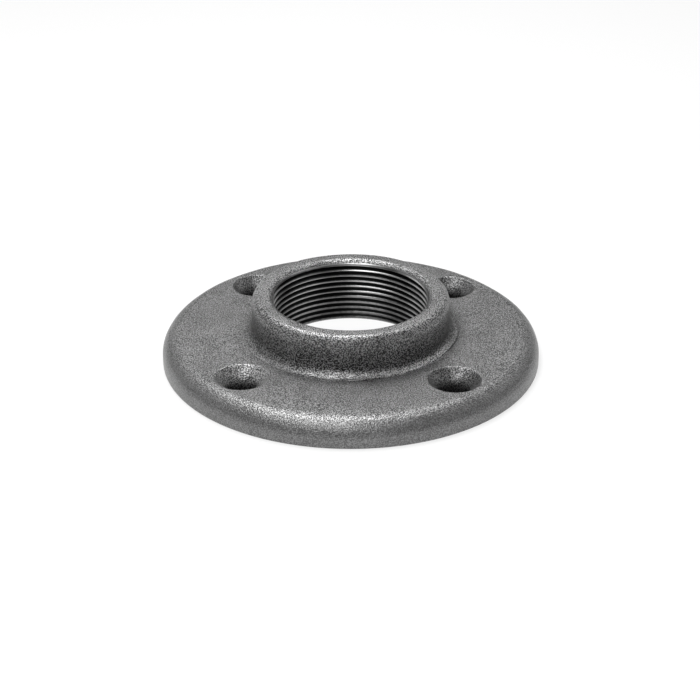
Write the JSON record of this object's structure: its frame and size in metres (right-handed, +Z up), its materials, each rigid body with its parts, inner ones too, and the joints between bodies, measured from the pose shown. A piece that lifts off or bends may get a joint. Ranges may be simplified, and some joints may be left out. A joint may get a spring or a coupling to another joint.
{
  "type": "floor flange",
  "caption": "Round cast floor flange with a raised hub bored for a pipe thread and countersunk screw holes, which stands a pipe upright on a floor, wall or bench.",
  "frame": {"origin": "centre of the bore on the plate's flat base", "axes": "+Z up the bore from the base to the hub's lip; the screw holes lie midway between the X and Y axes"},
  "size_m": [0.1396, 0.1396, 0.0252],
  "materials": {
    "cast_iron": "as-cast dark grey iron with a fine sand grain and a machined, oiled thread"
  },
  "bodies": {
    "root": {"flange": "cast_iron"}
  },
  "joints": []
}
